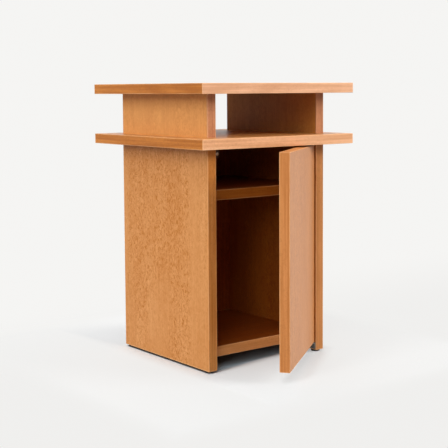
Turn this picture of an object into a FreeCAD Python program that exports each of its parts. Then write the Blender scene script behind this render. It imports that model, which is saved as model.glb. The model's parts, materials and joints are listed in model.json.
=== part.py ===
import FreeCAD, Part
import math
import os

# Nightstand in veneered board. Two square slabs hold an open cubby between them on two risers. Under
# the lower slab stands a cupboard with one door on pivot hinges, a push latch, a loose shelf and a back
# panel in grooves. Millimetres: X runs to the right, the front faces -Y, Z is up, and the origin is on
# the floor under the middle of the slabs. The door is modelled ajar.

# Boards
total_height = 610.0
slab_width = 418.0
slab_depth = 418.0
board_thickness = 22.0
slab_overhang = 46.5  # both slabs past the sides, the front and the back
cubby_height = 91.0
door_floor_gap = 23.0  # floor to the door's bottom edge
bottom_rise = 4.0  # underside of the bottom panel above the door's bottom edge
shelf_drop = 90.0  # clear height between the shelf and the middle slab
shelf_play = 0.8  # shelf to each side and to the back panel
back_thickness = 6.0
back_inset = 3.0  # back panel ahead of the sides' back edges
groove_depth = 6.0
lipping_thickness = 2.0  # solid strips glued to the visible board edges
arris_radius = 0.8

# Dowels, glides, nails and shelf pins
dowel_diameter = 8.0
dowel_in_face = 10.0
dowel_in_edge = 20.0
dowel_chamfer = 1.0
dowel_flats = 8  # flutes, drawn as flats
riser_dowel_spacing = 180.0  # front dowel to back dowel
side_dowel_spacing = 260.0
bottom_dowel_spacing = 160.0
glide_height = 5.0
glide_diameter = 20.0
glide_bevel = 1.5
round_flats = 24  # facets round a glide, a washer or a latch piece
glide_inset = 14.0  # glide centre from the sides' front and back edges
glide_nail_length = 18.0
nail_shank = 2.0
nail_head = 4.5
nail_head_thickness = 0.8
back_nail_length = 22.0
back_nail_margin = 20.0  # first and last nail from the side panels
back_nail_count = 4
shelf_pin_diameter = 5.0
shelf_pin_depth = 9.0  # in the side panel
shelf_pin_reach = 10.0  # under the shelf
shelf_pin_width = 7.0
shelf_pin_drop = 4.0  # pin axis below the shelf
shelf_pin_spacing = 190.0  # front pin to back pin

# Door and pivot hinges
door_side_gap = 3.0
door_back_gap = 2.0  # closed door to the bottom panel and the shelf
door_rest_angle = 37.3  # how far the door stands open here
pivot_inset = 5.0  # pivot axis from the door's hinge edge and from its front face
leaf_width = 8.0
leaf_length = 45.0
leaf_thickness = 2.5
pin_diameter = 4.0
pin_tail = 1.5  # pin past the door leaf
pin_room = 6.0  # drilled in the door behind each leaf
washer_diameter = 8.0
washer_thickness = 1.0
washer_play = 0.1
bracket_depth = 30.0
bracket_drop = 15.0
bracket_bend = 1.5
screw_head = 5.4
screw_shank = 3.0
screw_head_height = 1.6
screw_point = 3.0
screw_tip = 0.8
small_flats = 8  # facets round a screw or nail
screw_length = 14.0
leaf_screw_first = 14.0  # from the pivot to the first screw of a leaf
leaf_screw_spacing = 18.0
bracket_screw_spacing = 17.0

# Push latch
latch_side_offset = 21.0  # latch axis from the left side panel
latch_drop = 14.0  # latch axis below the middle slab
plunger_diameter = 10.0
plunger_length = 26.0
plunger_bevel = 0.8
plunger_travel = 3.0
plunger_margin = 1.2  # tip left ahead of the housing when it is pushed in
magnet_diameter = 7.0
magnet_thickness = 2.5
housing_wall = 4.0
housing_length = 37.0
flange_width = 40.0
flange_depth = 14.0
flange_thickness = 2.5
flange_screw_offset = 14.5
spring_wire = 0.8
spring_diameter = 5.2  # at the middle of the wire
spring_turns = 6
spring_pocket_depth = 12.0
strike_diameter = 14.0
strike_thickness = 1.0
latch_gap = 0.3  # plunger tip to the strike of the closed door

# Clearances
running_fit = 0.05  # radial, round pins, dowels and screws
blind_gap = 1.0  # past the end of a dowel
sliding_fit = 0.15  # radial, round the plunger
seat_fit = 0.1  # round the leaves in the door and the back panel in its grooves
same_place = 1e-6  # coordinates closer than this are equal

# Positions that follow from the sizes above
outer_x = slab_width / 2 - slab_overhang
inner_x = outer_x - board_thickness
middle_x = (outer_x + inner_x) / 2
back_y = slab_depth / 2 - slab_overhang
front_y = -back_y
top_z = total_height - board_thickness
cubby_z = top_z - cubby_height
middle_z = cubby_z - board_thickness
bottom_z = door_floor_gap + bottom_rise
bottom_top_z = bottom_z + board_thickness
shelf_z = middle_z - shelf_drop - board_thickness
inside_front_y = front_y + board_thickness + door_back_gap
back_outer_y = back_y - back_inset
back_inner_y = back_outer_y - back_thickness
door_left_x = -inner_x + door_side_gap
door_right_x = inner_x - door_side_gap
door_top_z = middle_z - leaf_thickness - washer_thickness - washer_play
pivot_x = door_right_x - pivot_inset
pivot_y = front_y + pivot_inset
bracket_top_z = door_floor_gap - washer_thickness
latch_x = latch_side_offset - inner_x
latch_z = middle_z - latch_drop
strike_y = front_y + board_thickness
tip_y = strike_y + strike_thickness + latch_gap
housing_y = tip_y + plunger_travel + plunger_margin
bore_end_y = housing_y + housing_length - housing_wall
pocket_y = tip_y + plunger_length - spring_pocket_depth


def vec(x, y, z):
    return FreeCAD.Vector(x, y, z)


X_AXIS = vec(1, 0, 0)
Y_AXIS = vec(0, 1, 0)
UP = vec(0, 0, 1)
ORIGIN = vec(0, 0, 0)


# Basic forms

def block(x0, x1, y0, y1, z0, z1):
    """Square-edged board between two opposite corners."""
    return Part.makeBox(x1 - x0, y1 - y0, z1 - z0, vec(x0, y0, z0))


def rod(diameter, start, end):
    """Round bar from one point to another."""
    axis = end - start
    return Part.makeCylinder(diameter / 2, axis.Length, start, axis)


def flat_face(corners):
    return Part.Face(Part.makePolygon(corners + corners[:1]))


def closed_solid(faces):
    """Solid inside flat faces that meet edge to edge."""
    shell = Part.makeShell(faces)
    shell.sewShape()
    return Part.makeSolid(shell)


def faceted(outline, flats, base, direction):
    """Turned piece in flat facets: rings of (radius, height) about the line from base along direction."""
    place = FreeCAD.Placement(base, FreeCAD.Rotation(UP, direction))
    turns = [2 * math.pi * step / flats for step in range(flats)]
    rings = [
        [place.multVec(vec(radius * math.cos(turn), radius * math.sin(turn), height)) for turn in turns]
        for radius, height in outline
    ]
    faces = [flat_face(rings[0]), flat_face(rings[-1])]
    for lower, upper in zip(rings, rings[1:]):
        for step in range(flats):
            faces.append(flat_face([lower[step - 1], lower[step], upper[step], upper[step - 1]]))
    return closed_solid(faces)


def disc(diameter, thickness, base, direction):
    radius = diameter / 2
    return faceted([(radius, 0), (radius, thickness)], round_flats, base, direction)


def stadium(x0, x1, y, width, z0, thickness):
    """Flat bar along X with round ends whose centres are at x0 and x1."""
    radius = width / 2
    edges = [
        Part.LineSegment(vec(x0, y - radius, z0), vec(x1, y - radius, z0)),
        Part.Arc(vec(x1, y - radius, z0), vec(x1 + radius, y, z0), vec(x1, y + radius, z0)),
        Part.LineSegment(vec(x1, y + radius, z0), vec(x0, y + radius, z0)),
        Part.Arc(vec(x0, y + radius, z0), vec(x0 - radius, y, z0), vec(x0, y - radius, z0)),
    ]
    face = Part.Face(Part.Wire([edge.toShape() for edge in edges]))
    return face.extrude(UP * thickness)


def near(a, b):
    return abs(a - b) < same_place


def edges_at(shape, test):
    """Edges of a shape whose two ends both pass the test."""
    return [edge for edge in shape.Edges if len(edge.Vertexes) == 2 and all(map(test, edge.Vertexes))]


def cut_all(shape, tools):
    """Shape less every tool."""
    return shape.cut(tools) if tools else shape


def cut_group(shapes, tools):
    return [cut_all(shape, tools) for shape in shapes]


# Edge strips

def strip(length, height, mitred):
    """Edge strip along X, outer face at y = 0, with eased outer arrises and square or mitred ends."""
    slant = lipping_thickness if mitred else 0.0
    points = [
        vec(0, 0, 0),
        vec(length, 0, 0),
        vec(length - slant, lipping_thickness, 0),
        vec(slant, lipping_thickness, 0),
    ]
    solid = flat_face(points).extrude(UP * height)
    ease = min(arris_radius, lipping_thickness / 2)
    outer = edges_at(solid, lambda corner: near(corner.Y, 0))
    arrises = [edge for edge in outer if near(edge.Vertexes[0].Z, edge.Vertexes[1].Z)]
    return solid.makeFillet(ease, arrises)


def edge_frame(x0, x1, y0, y1, z0):
    """Four mitred strips round a board that lies flat at z0."""
    frame = []
    corners = [vec(x0, y0, z0), vec(x1, y0, z0), vec(x1, y1, z0), vec(x0, y1, z0)]
    for side, corner in enumerate(corners):
        length = (x1 - x0) if side % 2 == 0 else (y1 - y0)
        piece = strip(length, board_thickness, True)
        piece.rotate(ORIGIN, UP, 90 * side)
        piece.translate(corner)
        frame.append(piece)
    return frame


def upright_strips(x, z0, z1):
    """Strips on the front and back edges of an upright board centred at x."""
    pair = []
    for y, turn in ((front_y, 0), (back_y, 180)):
        piece = strip(z1 - z0, board_thickness, False)
        piece.rotate(ORIGIN, Y_AXIS, -90)
        piece.translate(vec(board_thickness / 2, 0, 0))
        piece.rotate(ORIGIN, UP, turn)
        piece.translate(vec(x, y, z0))
        pair.append(piece)
    return pair


def front_strip(x0, x1, y, z0):
    """Strip on the front edge of a lying board."""
    piece = strip(x1 - x0, board_thickness, False)
    piece.translate(vec(x0, y, z0))
    return piece


# Fasteners, each with the hole that it needs

def dowel(start, end):
    length = (end - start).Length
    radius = dowel_diameter / 2
    outline = [
        (radius - dowel_chamfer, 0),
        (radius, dowel_chamfer),
        (radius, length - dowel_chamfer),
        (radius - dowel_chamfer, length),
    ]
    return faceted(outline, dowel_flats, start, end - start)


def dowel_hole(start, end):
    radius = dowel_diameter / 2 + running_fit
    length = (end - start).Length
    outline = [(radius, -blind_gap), (radius, length + blind_gap)]
    return faceted(outline, dowel_flats, start, end - start)


def screw(seat, direction, grow=0.0):
    """Countersunk screw with its head flush at seat, or with grow its hole."""
    head = screw_head / 2 + grow
    shank = screw_shank / 2 + grow
    outline = [
        (head, -grow),
        (shank, screw_head_height),
        (shank, screw_length - screw_point),
        (screw_tip / 2 + grow, screw_length + grow),
    ]
    return faceted(outline, small_flats, seat, direction)


def nail(seat, direction, length, grow=0.0):
    """Nail whose flat head sits on seat, or with grow its hole."""
    head = nail_head / 2 + grow
    shank = nail_shank / 2 + grow
    outline = [
        (head, -nail_head_thickness - grow),
        (head, 0),
        (shank, 0),
        (shank, length - nail_shank),
        (screw_tip / 2 + grow, length + grow),
    ]
    return faceted(outline, small_flats, seat, direction)


def screws(seats, direction):
    return [screw(seat, direction) for seat in seats]


def screw_holes(seats, direction):
    return [screw(seat, direction, running_fit) for seat in seats]


# Dowel rows: the start of each dowel is on its lower or inner end

def upright_dowels(offsets, z, below, above):
    """Dowels standing in the two upright boards at the joint plane z."""
    return [
        (vec(side * middle_x, y, z - below), vec(side * middle_x, y, z + above))
        for side in (-1, 1) for y in offsets
    ]


riser_offsets = (-riser_dowel_spacing / 2, riser_dowel_spacing / 2)
side_offsets = (-side_dowel_spacing / 2, 0, side_dowel_spacing / 2)
riser_top_rows = upright_dowels(riser_offsets, top_z, dowel_in_edge, dowel_in_face)
riser_foot_rows = upright_dowels(riser_offsets, cubby_z, dowel_in_face, dowel_in_edge)
side_top_rows = upright_dowels(side_offsets, middle_z, dowel_in_edge, dowel_in_face)
bottom_rows = [
    (
        vec(side * (inner_x - dowel_in_edge), y, bottom_z + board_thickness / 2),
        vec(side * (inner_x + dowel_in_face), y, bottom_z + board_thickness / 2),
    )
    for side in (-1, 1) for y in (-bottom_dowel_spacing / 2, bottom_dowel_spacing / 2)
]


def dowels(rows):
    return [dowel(start, end) for start, end in rows]


def dowel_holes(rows):
    return [dowel_hole(start, end) for start, end in rows]


# Where the screws, nails, glides and pins sit

leaf_screw_xs = [pivot_x - leaf_screw_first - step * leaf_screw_spacing for step in (0, 1)]
frame_leaf_seats = [vec(x, pivot_y, middle_z - leaf_thickness) for x in leaf_screw_xs]
upper_leaf_seats = [vec(x, pivot_y, door_top_z) for x in leaf_screw_xs]
lower_leaf_seats = [vec(x, pivot_y, door_floor_gap) for x in leaf_screw_xs]
bracket_front_y = pivot_y - leaf_width / 2
bracket_middle_y = bracket_front_y + bracket_depth / 2
bracket_seats = [
    vec(inner_x - leaf_thickness, bracket_middle_y + step * bracket_screw_spacing / 2,
        bracket_top_z - leaf_thickness - (bracket_drop - leaf_thickness) / 2)
    for step in (-1, 1)
]
latch_flange_y = housing_y + housing_length / 2
latch_seats = [
    vec(latch_x + side * flange_screw_offset, latch_flange_y, middle_z - flange_thickness)
    for side in (-1, 1)
]
strike_seat = vec(latch_x, strike_y + strike_thickness, latch_z)
glide_places = [
    vec(side * middle_x, end * (back_y - glide_inset), 0) for side in (-1, 1) for end in (-1, 1)
]
glide_nail_seats = [place + vec(0, 0, glide_bevel + nail_head_thickness) for place in glide_places]
back_nail_seats = [
    vec((inner_x - back_nail_margin) * (2 * step / (back_nail_count - 1) - 1), back_outer_y,
        bottom_z + board_thickness / 2)
    for step in range(back_nail_count)
]
shelf_pin_places = [
    (side, vec(side * inner_x, end * shelf_pin_spacing / 2, shelf_z - shelf_pin_drop))
    for side in (-1, 1) for end in (-1, 1)
]


def glide_nail_holes():
    return [nail(seat, UP, glide_nail_length, running_fit) for seat in glide_nail_seats]


def back_nail_holes():
    return [nail(seat, -Y_AXIS, back_nail_length, running_fit) for seat in back_nail_seats]


# Carcass boards

def slab(z0, tools):
    """Square slab at z0 as its core and its four edge strips."""
    half_x = slab_width / 2
    half_y = slab_depth / 2
    core = block(-half_x + lipping_thickness, half_x - lipping_thickness, -half_y + lipping_thickness,
                 half_y - lipping_thickness, z0, z0 + board_thickness)
    return cut_all(core, tools), edge_frame(-half_x, half_x, -half_y, half_y, z0)


def upright(side, z0, z1, tools):
    """Riser or side panel, less its edge strips."""
    x = side * middle_x
    core = block(x - board_thickness / 2, x + board_thickness / 2, front_y + lipping_thickness,
                 back_y - lipping_thickness, z0, z1)
    return cut_all(core, tools)


def back_groove():
    """Space round the back panel in the sides and the middle slab."""
    half = inner_x + groove_depth
    return block(-half, half, back_inner_y - seat_fit, back_outer_y + seat_fit, bottom_z - seat_fit,
                 middle_z + groove_depth)


def back_panel():
    half = inner_x + groove_depth - seat_fit
    panel = block(-half, half, back_inner_y, back_outer_y, bottom_z, middle_z + groove_depth - seat_fit)
    return cut_all(panel, back_nail_holes())


def bottom_panel():
    core = block(-inner_x, inner_x, inside_front_y + lipping_thickness, back_inner_y, bottom_z, bottom_top_z)
    return cut_all(core, dowel_holes(bottom_rows) + back_nail_holes())


def inner_shelf():
    half = inner_x - shelf_play
    core = block(-half, half, inside_front_y + lipping_thickness, back_inner_y - shelf_play, shelf_z,
                 shelf_z + board_thickness)
    return core, front_strip(-half, half, inside_front_y, shelf_z)


# Small carcass pieces

def shelf_pin(side, place):
    """Spoon pin: a round shank in the side panel and a flat-topped paddle under the shelf."""
    into_side = vec(side, 0, 0)
    paddle_end = place - into_side * (shelf_pin_reach - shelf_pin_width / 2)
    inner_end = place - into_side * shelf_play
    ends = sorted((paddle_end.x, inner_end.x))
    radius = shelf_pin_width / 2
    paddle = stadium(ends[0], ends[1], place.y, shelf_pin_width, place.z - shelf_pin_diameter / 2,
                     shelf_pin_diameter / 2 + shelf_pin_drop)
    room = block(min(0, side * inner_x), max(0, side * inner_x), place.y - radius, place.y + radius,
                 place.z - shelf_pin_drop, place.z + shelf_pin_drop)
    shank_radius = shelf_pin_diameter / 2
    shank = faceted([(shank_radius, 0), (shank_radius, shelf_pin_depth)], small_flats, place, into_side)
    return paddle.common(room).fuse(shank).removeSplitter()


def shelf_pin_holes():
    return [
        faceted([(shelf_pin_diameter / 2 + running_fit, 0),
                 (shelf_pin_diameter / 2 + running_fit, shelf_pin_depth + running_fit)],
                small_flats, place, vec(side, 0, 0))
        for side, place in shelf_pin_places
    ]


def floor_glide(place):
    radius = glide_diameter / 2
    outline = [(radius - glide_bevel, 0), (radius, glide_bevel), (radius, glide_height)]
    foot = faceted(outline, round_flats, place, UP)
    well_radius = nail_head / 2 + running_fit
    well = faceted([(well_radius, 0), (well_radius, glide_bevel + running_fit)], small_flats, place, UP)
    return cut_all(foot, [well] + glide_nail_holes())


# Pivot hinges

def pin_hole(z0, z1, grow):
    return rod(pin_diameter + 2 * grow, vec(pivot_x, pivot_y, z0), vec(pivot_x, pivot_y, z1))


def leaf(z0, seats, direction):
    """Hinge leaf with round ends: one end round the pivot, two countersunk screw holes."""
    end_x = pivot_x - leaf_length + leaf_width
    plate = stadium(end_x, pivot_x, pivot_y, leaf_width, z0, leaf_thickness)
    return cut_all(plate, screw_holes(seats, direction) + [pin_hole(z0, z0 + leaf_thickness, running_fit)])


def leaf_mortises():
    """Recesses for the two leaves in the door, with room for the ends of the pins."""
    end_x = pivot_x - leaf_length + leaf_width
    depth = leaf_thickness + seat_fit
    width = leaf_width + 2 * seat_fit
    top = vec(pivot_x, pivot_y, door_top_z)
    foot = vec(pivot_x, pivot_y, door_floor_gap)
    pin_depth = leaf_thickness + pin_tail + blind_gap
    return [
        stadium(end_x, pivot_x, pivot_y, width, door_top_z - depth, depth),
        stadium(end_x, pivot_x, pivot_y, width, door_floor_gap, depth),
        faceted([(pin_room / 2, 0), (pin_room / 2, pin_depth)], small_flats, top, -UP),
        faceted([(pin_room / 2, 0), (pin_room / 2, pin_depth)], small_flats, foot, UP),
    ]


def lower_bracket():
    """Bent angle: a tapered leg under the door round the pin, and a round-cornered leg on the side panel."""
    radius = leaf_width / 2
    z0 = bracket_top_z - leaf_thickness
    rear_y = bracket_front_y + bracket_depth
    rear = vec(inner_x, rear_y, z0)
    centre = vec(pivot_x, pivot_y, z0)
    reach = rear - centre
    front_angle = 1.5 * math.pi
    touch_angle = math.atan2(reach.y, reach.x) + math.acos(radius / reach.Length)
    middle_angle = (touch_angle + front_angle) / 2

    def on_end(angle):
        return centre + vec(math.cos(angle), math.sin(angle), 0) * radius

    front = vec(inner_x, bracket_front_y, z0)
    edges = [
        Part.LineSegment(front, on_end(front_angle)),
        Part.Arc(on_end(front_angle), on_end(middle_angle), on_end(touch_angle)),
        Part.LineSegment(on_end(touch_angle), rear),
        Part.LineSegment(rear, front),
    ]
    leg = Part.Face(Part.Wire([edge.toShape() for edge in edges])).extrude(UP * leaf_thickness)
    foot_z = bracket_top_z - bracket_drop
    plate = block(inner_x - leaf_thickness, inner_x, bracket_front_y, rear_y, foot_z, bracket_top_z)
    low_edges = edges_at(plate, lambda corner: near(corner.Z, foot_z))
    corners = [edge for edge in low_edges if near(edge.Vertexes[0].Y, edge.Vertexes[1].Y)]
    angle = plate.makeFillet(radius, corners).fuse(leg).removeSplitter()
    bend_x = inner_x - leaf_thickness
    bend = edges_at(angle, lambda corner: near(corner.X, bend_x) and near(corner.Z, z0))
    angle = angle.makeFillet(bracket_bend, bend)
    return cut_all(angle, screw_holes(bracket_seats, X_AXIS) + [pin_hole(z0, bracket_top_z, running_fit)])


def washer(z0):
    ring = disc(washer_diameter, washer_thickness, vec(pivot_x, pivot_y, z0), UP)
    return cut_all(ring, [pin_hole(z0, z0 + washer_thickness, running_fit)])


# Push latch

def along_latch(y):
    return vec(latch_x, y, latch_z)


def latch_housing():
    """Moulded body with a round belly and a screw flange, bored from the front for the plunger."""
    radius = plunger_diameter / 2 + sliding_fit + housing_wall
    left = latch_x - radius
    right = latch_x + radius
    edges = [
        Part.LineSegment(vec(left, housing_y, middle_z), vec(left, housing_y, latch_z)),
        Part.Arc(vec(left, housing_y, latch_z), vec(latch_x, housing_y, latch_z - radius),
                 vec(right, housing_y, latch_z)),
        Part.LineSegment(vec(right, housing_y, latch_z), vec(right, housing_y, middle_z)),
        Part.LineSegment(vec(right, housing_y, middle_z), vec(left, housing_y, middle_z)),
    ]
    body = Part.Face(Part.Wire([edge.toShape() for edge in edges])).extrude(Y_AXIS * housing_length)
    flange_reach = (flange_width - flange_depth) / 2
    flange = stadium(latch_x - flange_reach, latch_x + flange_reach, latch_flange_y, flange_depth,
                     middle_z - flange_thickness, flange_thickness)
    bore = rod(plunger_diameter + 2 * sliding_fit, along_latch(housing_y), along_latch(bore_end_y))
    return cut_all(body.fuse(flange).removeSplitter(), [bore] + screw_holes(latch_seats, UP))


def latch_plunger():
    """Plunger with a bevelled tip, a pocket for the magnet in front and one for the spring behind."""
    radius = plunger_diameter / 2
    pocket = spring_diameter / 2 + spring_wire / 2 + sliding_fit
    magnet = magnet_diameter / 2 + running_fit
    outline = [
        (magnet, magnet_thickness + running_fit),
        (magnet, 0),
        (radius - plunger_bevel, 0),
        (radius, plunger_bevel),
        (radius, plunger_length),
        (pocket, plunger_length),
        (pocket, plunger_length - spring_pocket_depth),
    ]
    return faceted(outline, round_flats, along_latch(tip_y), Y_AXIS)


def latch_spring():
    """Coil spring from the floor of the plunger's pocket to the end of the bore, in flat facets."""
    steps_per_turn = 8
    steps = spring_turns * steps_per_turn
    sides = 4
    start = pocket_y + spring_wire
    pitch = (bore_end_y - spring_wire - start) / steps
    rings = []
    for step in range(steps + 1):
        turn = 2 * math.pi * step / steps_per_turn
        outward = vec(math.cos(turn), 0, math.sin(turn))
        middle = along_latch(start + pitch * step) + outward * (spring_diameter / 2)
        ring = []
        for corner in range(sides):
            angle = 2 * math.pi * corner / sides
            ring.append(middle + (outward * math.cos(angle) + Y_AXIS * math.sin(angle)) * (spring_wire / 2))
        rings.append(ring)
    faces = [flat_face(rings[0]), flat_face(rings[-1])]
    for near, far in zip(rings, rings[1:]):
        for corner in range(sides):
            faces.append(flat_face([near[corner - 1], near[corner], far[corner]]))
            faces.append(flat_face([near[corner - 1], far[corner], far[corner - 1]]))
    return closed_solid(faces)


# Door, built shut and then swung open about the pivots

def door_boards():
    """Door core and its four edge strips, standing shut."""
    core = block(door_left_x + lipping_thickness, door_right_x - lipping_thickness, front_y, strike_y,
                 door_floor_gap + lipping_thickness, door_top_z - lipping_thickness)
    frame = edge_frame(door_left_x, door_right_x, door_floor_gap, door_top_z, 0)
    for piece in frame:
        piece.rotate(ORIGIN, X_AXIS, 90)
        piece.translate(vec(0, strike_y, 0))
    tools = leaf_mortises() + screw_holes(upper_leaf_seats, -UP) + screw_holes(lower_leaf_seats, UP)
    tools += screw_holes([strike_seat], -Y_AXIS)
    return cut_all(core, tools), cut_group(frame, tools)


def swung(shape):
    shape.rotate(vec(pivot_x, pivot_y, 0), UP, door_rest_angle)
    return shape


def carcass_pieces():
    top, top_edging = slab(top_z, dowel_holes(riser_top_rows))
    frame_leaf_holes = screw_holes(frame_leaf_seats, UP)
    middle_tools = dowel_holes(riser_foot_rows + side_top_rows) + [back_groove()]
    middle, middle_edging = slab(cubby_z - board_thickness,
                                 middle_tools + frame_leaf_holes + screw_holes(latch_seats, UP))
    shelf, shelf_edging = inner_shelf()
    pieces = {
        "top_panel": [top],
        "top_panel_edging": top_edging,
        "middle_panel": [middle],
        "middle_panel_edging": middle_edging,
        "bottom_panel": [bottom_panel()],
        "bottom_panel_edging": [front_strip(-inner_x, inner_x, inside_front_y, bottom_z)],
        "inner_shelf": [shelf],
        "inner_shelf_edging": [shelf_edging],
        "back_panel": [back_panel()],
        "back_panel_nails": [nail(seat, -Y_AXIS, back_nail_length) for seat in back_nail_seats],
        "shelf_pins": [shelf_pin(side, place) for side, place in shelf_pin_places],
        "floor_glides": [floor_glide(place) for place in glide_places],
        "glide_nails": [nail(seat, UP, glide_nail_length) for seat in glide_nail_seats],
        "riser_top_dowels": dowels(riser_top_rows),
        "riser_foot_dowels": dowels(riser_foot_rows),
        "side_top_dowels": dowels(side_top_rows),
        "bottom_panel_dowels": dowels(bottom_rows),
    }
    riser_tools = dowel_holes(riser_top_rows + riser_foot_rows)
    side_tools = dowel_holes(side_top_rows + bottom_rows) + [back_groove()] + shelf_pin_holes()
    side_tools += glide_nail_holes() + screw_holes(bracket_seats, X_AXIS)
    for name, side in (("left", -1), ("right", 1)):
        pieces[name + "_riser"] = [upright(side, cubby_z, top_z, riser_tools)]
        pieces[name + "_riser_edging"] = upright_strips(side * middle_x, cubby_z, top_z)
        pieces[name + "_side_panel"] = [upright(side, glide_height, middle_z, side_tools)]
        pieces[name + "_side_edging"] = cut_group(upright_strips(side * middle_x, glide_height, middle_z),
                                                  screw_holes(bracket_seats, X_AXIS))
    return pieces


def hinge_and_latch_pieces():
    pin_top = middle_z - running_fit
    pin_foot = bracket_top_z - leaf_thickness + running_fit
    past_leaf = leaf_thickness + pin_tail
    return {
        "upper_frame_leaf": [leaf(middle_z - leaf_thickness, frame_leaf_seats, UP)],
        "frame_leaf_screws": screws(frame_leaf_seats, UP),
        "lower_pivot_bracket": [lower_bracket()],
        "bracket_screws": screws(bracket_seats, X_AXIS),
        "upper_pivot_pin": [pin_hole(door_top_z - past_leaf, pin_top, 0)],
        "lower_pivot_pin": [pin_hole(pin_foot, door_floor_gap + past_leaf, 0)],
        "lower_pivot_washer": [washer(bracket_top_z)],
        "latch_housing": [latch_housing()],
        "latch_screws": screws(latch_seats, UP),
        "latch_spring": [latch_spring()],
        "latch_plunger": [latch_plunger()],
        "latch_magnet": [disc(magnet_diameter, magnet_thickness, along_latch(tip_y), Y_AXIS)],
    }


def door_pieces():
    core, edging = door_boards()
    strike = disc(strike_diameter, strike_thickness, along_latch(strike_y), Y_AXIS)
    shut = {
        "door_panel": [core],
        "door_edging": edging,
        "upper_door_leaf": [leaf(door_top_z - leaf_thickness, upper_leaf_seats, -UP)],
        "lower_door_leaf": [leaf(door_floor_gap, lower_leaf_seats, UP)],
        "door_leaf_screws": screws(upper_leaf_seats, -UP) + screws(lower_leaf_seats, UP),
        "upper_pivot_washer": [washer(door_top_z)],
        "latch_strike": [cut_all(strike, screw_holes([strike_seat], -Y_AXIS))],
        "strike_screw": screws([strike_seat], -Y_AXIS),
    }
    return {name: [swung(shape) for shape in shapes] for name, shapes in shut.items()}


def main():
    os.makedirs("parts", exist_ok=True)
    pieces = carcass_pieces() | hinge_and_latch_pieces() | door_pieces()
    for name, shapes in pieces.items():
        node = shapes[0] if len(shapes) == 1 else Part.makeCompound(shapes)
        node.exportStep("parts/" + name + ".step")
        state = "valid" if node.isValid() else "INVALID"
        print(name, len(node.Solids), "solids", round(node.Volume), "mm3", state)


main()
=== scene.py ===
import bmesh
import bpy
import json
import math
from collections import namedtuple
from mathutils import Matrix, Vector

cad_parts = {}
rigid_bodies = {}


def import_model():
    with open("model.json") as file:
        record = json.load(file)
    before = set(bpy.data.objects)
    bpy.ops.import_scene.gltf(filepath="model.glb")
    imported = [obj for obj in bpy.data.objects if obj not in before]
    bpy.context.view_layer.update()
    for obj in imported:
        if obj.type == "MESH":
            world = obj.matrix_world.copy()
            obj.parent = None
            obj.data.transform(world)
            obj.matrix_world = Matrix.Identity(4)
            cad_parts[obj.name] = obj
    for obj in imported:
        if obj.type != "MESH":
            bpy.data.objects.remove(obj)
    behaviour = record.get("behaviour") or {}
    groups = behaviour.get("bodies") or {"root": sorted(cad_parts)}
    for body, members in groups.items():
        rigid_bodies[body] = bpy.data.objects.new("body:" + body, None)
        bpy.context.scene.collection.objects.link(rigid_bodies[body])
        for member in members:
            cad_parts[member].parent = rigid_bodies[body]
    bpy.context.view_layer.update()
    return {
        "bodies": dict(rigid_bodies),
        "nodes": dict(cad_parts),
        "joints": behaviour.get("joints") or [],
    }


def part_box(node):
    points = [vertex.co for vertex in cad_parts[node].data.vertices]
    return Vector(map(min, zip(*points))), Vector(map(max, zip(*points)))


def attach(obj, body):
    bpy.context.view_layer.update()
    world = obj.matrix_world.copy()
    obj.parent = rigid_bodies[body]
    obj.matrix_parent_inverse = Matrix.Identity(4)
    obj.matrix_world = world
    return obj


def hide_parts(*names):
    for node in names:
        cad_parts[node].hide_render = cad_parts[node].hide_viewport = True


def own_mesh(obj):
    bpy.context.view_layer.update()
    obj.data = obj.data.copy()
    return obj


# Looks of the nightstand: stained, lacquered wood on every board, plated steel and nylon on the fittings,
# turned screws, nails, glides and latch pieces, a pale seamless floor, and the photograph's camera.
# Everything is in metres: X to the right, the front faces -Y, Z is up.

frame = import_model()
nodes = frame["nodes"]
joints = {joint["name"]: joint for joint in frame["joints"]}

MM = 0.001
WELD = 1e-6
UP = Vector((0, 0, 1))
RIGHT = Vector((1, 0, 0))
INWARD = Vector((0, 1, 0))

# Camera, fitted to the board edges in the photograph
IMAGE_SIZE = 448
FOCAL_PIXELS = 1060.3
CAMERA_TURN = math.radians(-37.598)
CAMERA_RISE = math.radians(4.698)
CAMERA_ROLL = math.radians(-0.358)
CAMERA_DISTANCE = 2.4294
CAMERA_RIGHT = 0.0041
CAMERA_UP = 0.0943
AIM_HEIGHT = 0.305
PRINCIPAL_Y = 176
SENSOR_WIDTH = 36.0

# Light: soft suns, each with its turn from the front in degrees (positive to the right), its height above the
# floor and then its strength and its spread in degrees. The key comes from the left in two heights.
Sun = namedtuple("Sun", "turn height strength spread")
KEY_TURN = -80
SUNS = {
    "key low": Sun(KEY_TURN, 16, 0.95, 16),
    "key high": Sun(KEY_TURN, 33, 1.05, 18),
    "left above": Sun(-70, 58, 0.9, 36),
    "front high": Sun(-40, 38, 0.4, 24),
    "front low": Sun(-52, 16, 0.35, 16),
    "fill": Sun(45, 22, 2.85, 28),
    "rear": Sun(165, 50, 0.8, 40),
    "above": Sun(0, 88, 1.0, 50),
}
SURROUND_COLOUR = (1.0, 0.99, 0.975, 1.0)
SURROUND_STRENGTH = 0.005
BACKDROP = (0.915, 0.91, 0.895, 1.0)

# Floor: its colour as it is seen and as light bounces off it, the shade between and under the sides, and how
# wide the borders of that shade are
FLOOR_REACH = 30.0
FLOOR_ROUGHNESS = 0.9
FLOOR_SHEEN = 0.1
FLOOR_COLOUR = (0.72, 0.74, 0.75, 1.0)
FLOOR_BOUNCE = (0.30, 0.30, 0.295, 1.0)
FLOOR_SHADE = (0.42, 0.56, 0.64, 1.0)
FLOOR_FOOT_SHADE = (0.16, 0.15, 0.14, 1.0)
FLOOR_SHADE_EDGE = 3 * MM
FLOOR_SHADE_FADE = 8 * MM

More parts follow.
